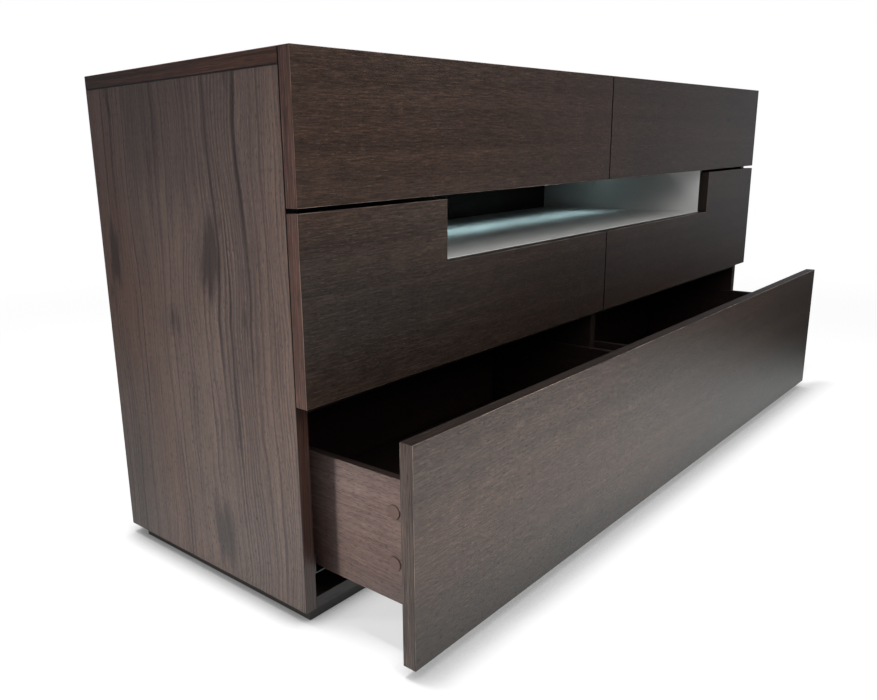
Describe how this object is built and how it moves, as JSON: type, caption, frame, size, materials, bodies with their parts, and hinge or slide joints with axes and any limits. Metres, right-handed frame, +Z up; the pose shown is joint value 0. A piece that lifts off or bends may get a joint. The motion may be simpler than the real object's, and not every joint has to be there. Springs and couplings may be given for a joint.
{
  "type": "chest of drawers",
  "caption": "Low wide chest of drawers in dark stained oak with overlay fronts, a lit display niche between L-shaped fronts and a long bottom drawer, on a recessed plinth.",
  "frame": {"origin": "on the floor, at the centre of the closed chest's plan, on the plinth's centre rail", "axes": "+X to the chest's right as seen from the front, +Y from the fronts to the back, +Z up"},
  "size_m": [1.6, 0.639, 0.755],
  "materials": {
    "carcass_veneer": "satin",
    "front_veneer": "satin",
    "drawer_veneer": "satin",
    "drawer_board": "matte",
    "inner_board": "matte",
    "plinth_paint": "matte",
    "niche_lacquer": "satin",
    "dowel_wood": "matte",
    "channel_aluminium": "satin",
    "tape_board": "matte",
    "lens": "satin",
    "driver_case": "matte",
    "grommet_plastic": "satin",
    "runner_steel": "satin",
    "cam_cover": "satin"
  },
  "bodies": {
    "carcass": {"top_panel": "carcass_veneer", "left_side_panel": "carcass_veneer", "right_side_panel": "carcass_veneer", "bottom_panel": "inner_board", "back_panel": "inner_board", "upper_shelf": "inner_board", "lower_shelf": "inner_board", "upper_partition": "inner_board", "middle_partition": "inner_board", "lower_partition": "inner_board", "plinth_frame": "plinth_paint", "carcass_dowels": "dowel_wood", "niche_floor": "niche_lacquer", "niche_side_walls": "niche_lacquer", "led_channel": "channel_aluminium", "led_tape": "tape_board", "led_diffuser": "lens", "led_driver": "driver_case", "cable_grommet": "grommet_plastic", "runner_rails": "runner_steel"},
    "top_left_drawer": {"top_left_drawer_front": "front_veneer", "top_left_drawer_left_side": "drawer_veneer", "top_left_drawer_right_side": "drawer_veneer", "top_left_drawer_back": "drawer_veneer", "top_left_drawer_bottom": "drawer_board", "top_left_drawer_cam_locks": "cam_cover", "top_left_drawer_runner_carriers": "runner_steel"},
    "top_left_slides": {"top_left_drawer_runner_slides": "runner_steel"},
    "top_right_drawer": {"top_right_drawer_front": "front_veneer", "top_right_drawer_left_side": "drawer_veneer", "top_right_drawer_right_side": "drawer_veneer", "top_right_drawer_back": "drawer_veneer", "top_right_drawer_bottom": "drawer_board", "top_right_drawer_cam_locks": "cam_cover", "top_right_drawer_runner_carriers": "runner_steel"},
    "top_right_slides": {"top_right_drawer_runner_slides": "runner_steel"},
    "middle_left_drawer": {"middle_left_drawer_front": "front_veneer", "middle_left_drawer_left_side": "drawer_veneer", "middle_left_drawer_right_side": "drawer_veneer", "middle_left_drawer_back": "drawer_veneer", "middle_left_drawer_bottom": "drawer_board", "middle_left_drawer_cam_locks": "cam_cover", "middle_left_drawer_runner_carriers": "runner_steel"},
    "middle_left_slides": {"middle_left_drawer_runner_slides": "runner_steel"},
    "middle_right_drawer": {"middle_right_drawer_front": "front_veneer", "middle_right_drawer_left_side": "drawer_veneer", "middle_right_drawer_right_side": "drawer_veneer", "middle_right_drawer_back": "drawer_veneer", "middle_right_drawer_bottom": "drawer_board", "middle_right_drawer_cam_locks": "cam_cover", "middle_right_drawer_runner_carriers": "runner_steel"},
    "middle_right_slides": {"middle_right_drawer_runner_slides": "runner_steel"},
    "bottom_drawer": {"bottom_drawer_front": "front_veneer", "bottom_drawer_sides": "drawer_veneer", "bottom_drawer_backs": "drawer_veneer", "bottom_drawer_bottoms": "drawer_board", "bottom_drawer_cam_locks": "cam_cover", "bottom_drawer_runner_carriers": "runner_steel"},
    "bottom_slides": {"bottom_drawer_runner_slides": "runner_steel"}
  },
  "joints": [
    {"name": "top_left_pull", "type": "slide", "parent": "carcass", "child": "top_left_drawer", "axis": [0, -1, 0], "range_m": [0, 0.38]},
    {"name": "top_left_slides_run", "type": "slide", "parent": "carcass", "child": "top_left_slides", "axis": [0, -1, 0], "range_m": [0, 0.19]},
    {"name": "top_right_pull", "type": "slide", "parent": "carcass", "child": "top_right_drawer", "axis": [0, -1, 0], "range_m": [0, 0.38]},
    {"name": "top_right_slides_run", "type": "slide", "parent": "carcass", "child": "top_right_slides", "axis": [0, -1, 0], "range_m": [0, 0.19]},
    {"name": "middle_left_pull", "type": "slide", "parent": "carcass", "child": "middle_left_drawer", "axis": [0, -1, 0], "range_m": [0, 0.38]},
    {"name": "middle_left_slides_run", "type": "slide", "parent": "carcass", "child": "middle_left_slides", "axis": [0, -1, 0], "range_m": [0, 0.19]},
    {"name": "middle_right_pull", "type": "slide", "parent": "carcass", "child": "middle_right_drawer", "axis": [0, -1, 0], "range_m": [0, 0.38]},
    {"name": "middle_right_slides_run", "type": "slide", "parent": "carcass", "child": "middle_right_slides", "axis": [0, -1, 0], "range_m": [0, 0.19]},
    {"name": "bottom_pull", "type": "slide", "parent": "carcass", "child": "bottom_drawer", "axis": [0, -1, 0], "range_m": [-0.174, 0.206]},
    {"name": "bottom_slides_run", "type": "slide", "parent": "carcass", "child": "bottom_slides", "axis": [0, -1, 0], "range_m": [-0.087, 0.103]}
  ],
  "couplings": [
    {"joint": "top_left_slides_run", "follows": "top_left_pull", "ratio": 0.5},
    {"joint": "top_right_slides_run", "follows": "top_right_pull", "ratio": 0.5},
    {"joint": "middle_left_slides_run", "follows": "middle_left_pull", "ratio": 0.5},
    {"joint": "middle_right_slides_run", "follows": "middle_right_pull", "ratio": 0.5},
    {"joint": "bottom_slides_run", "follows": "bottom_pull", "ratio": 0.5}
  ]
}
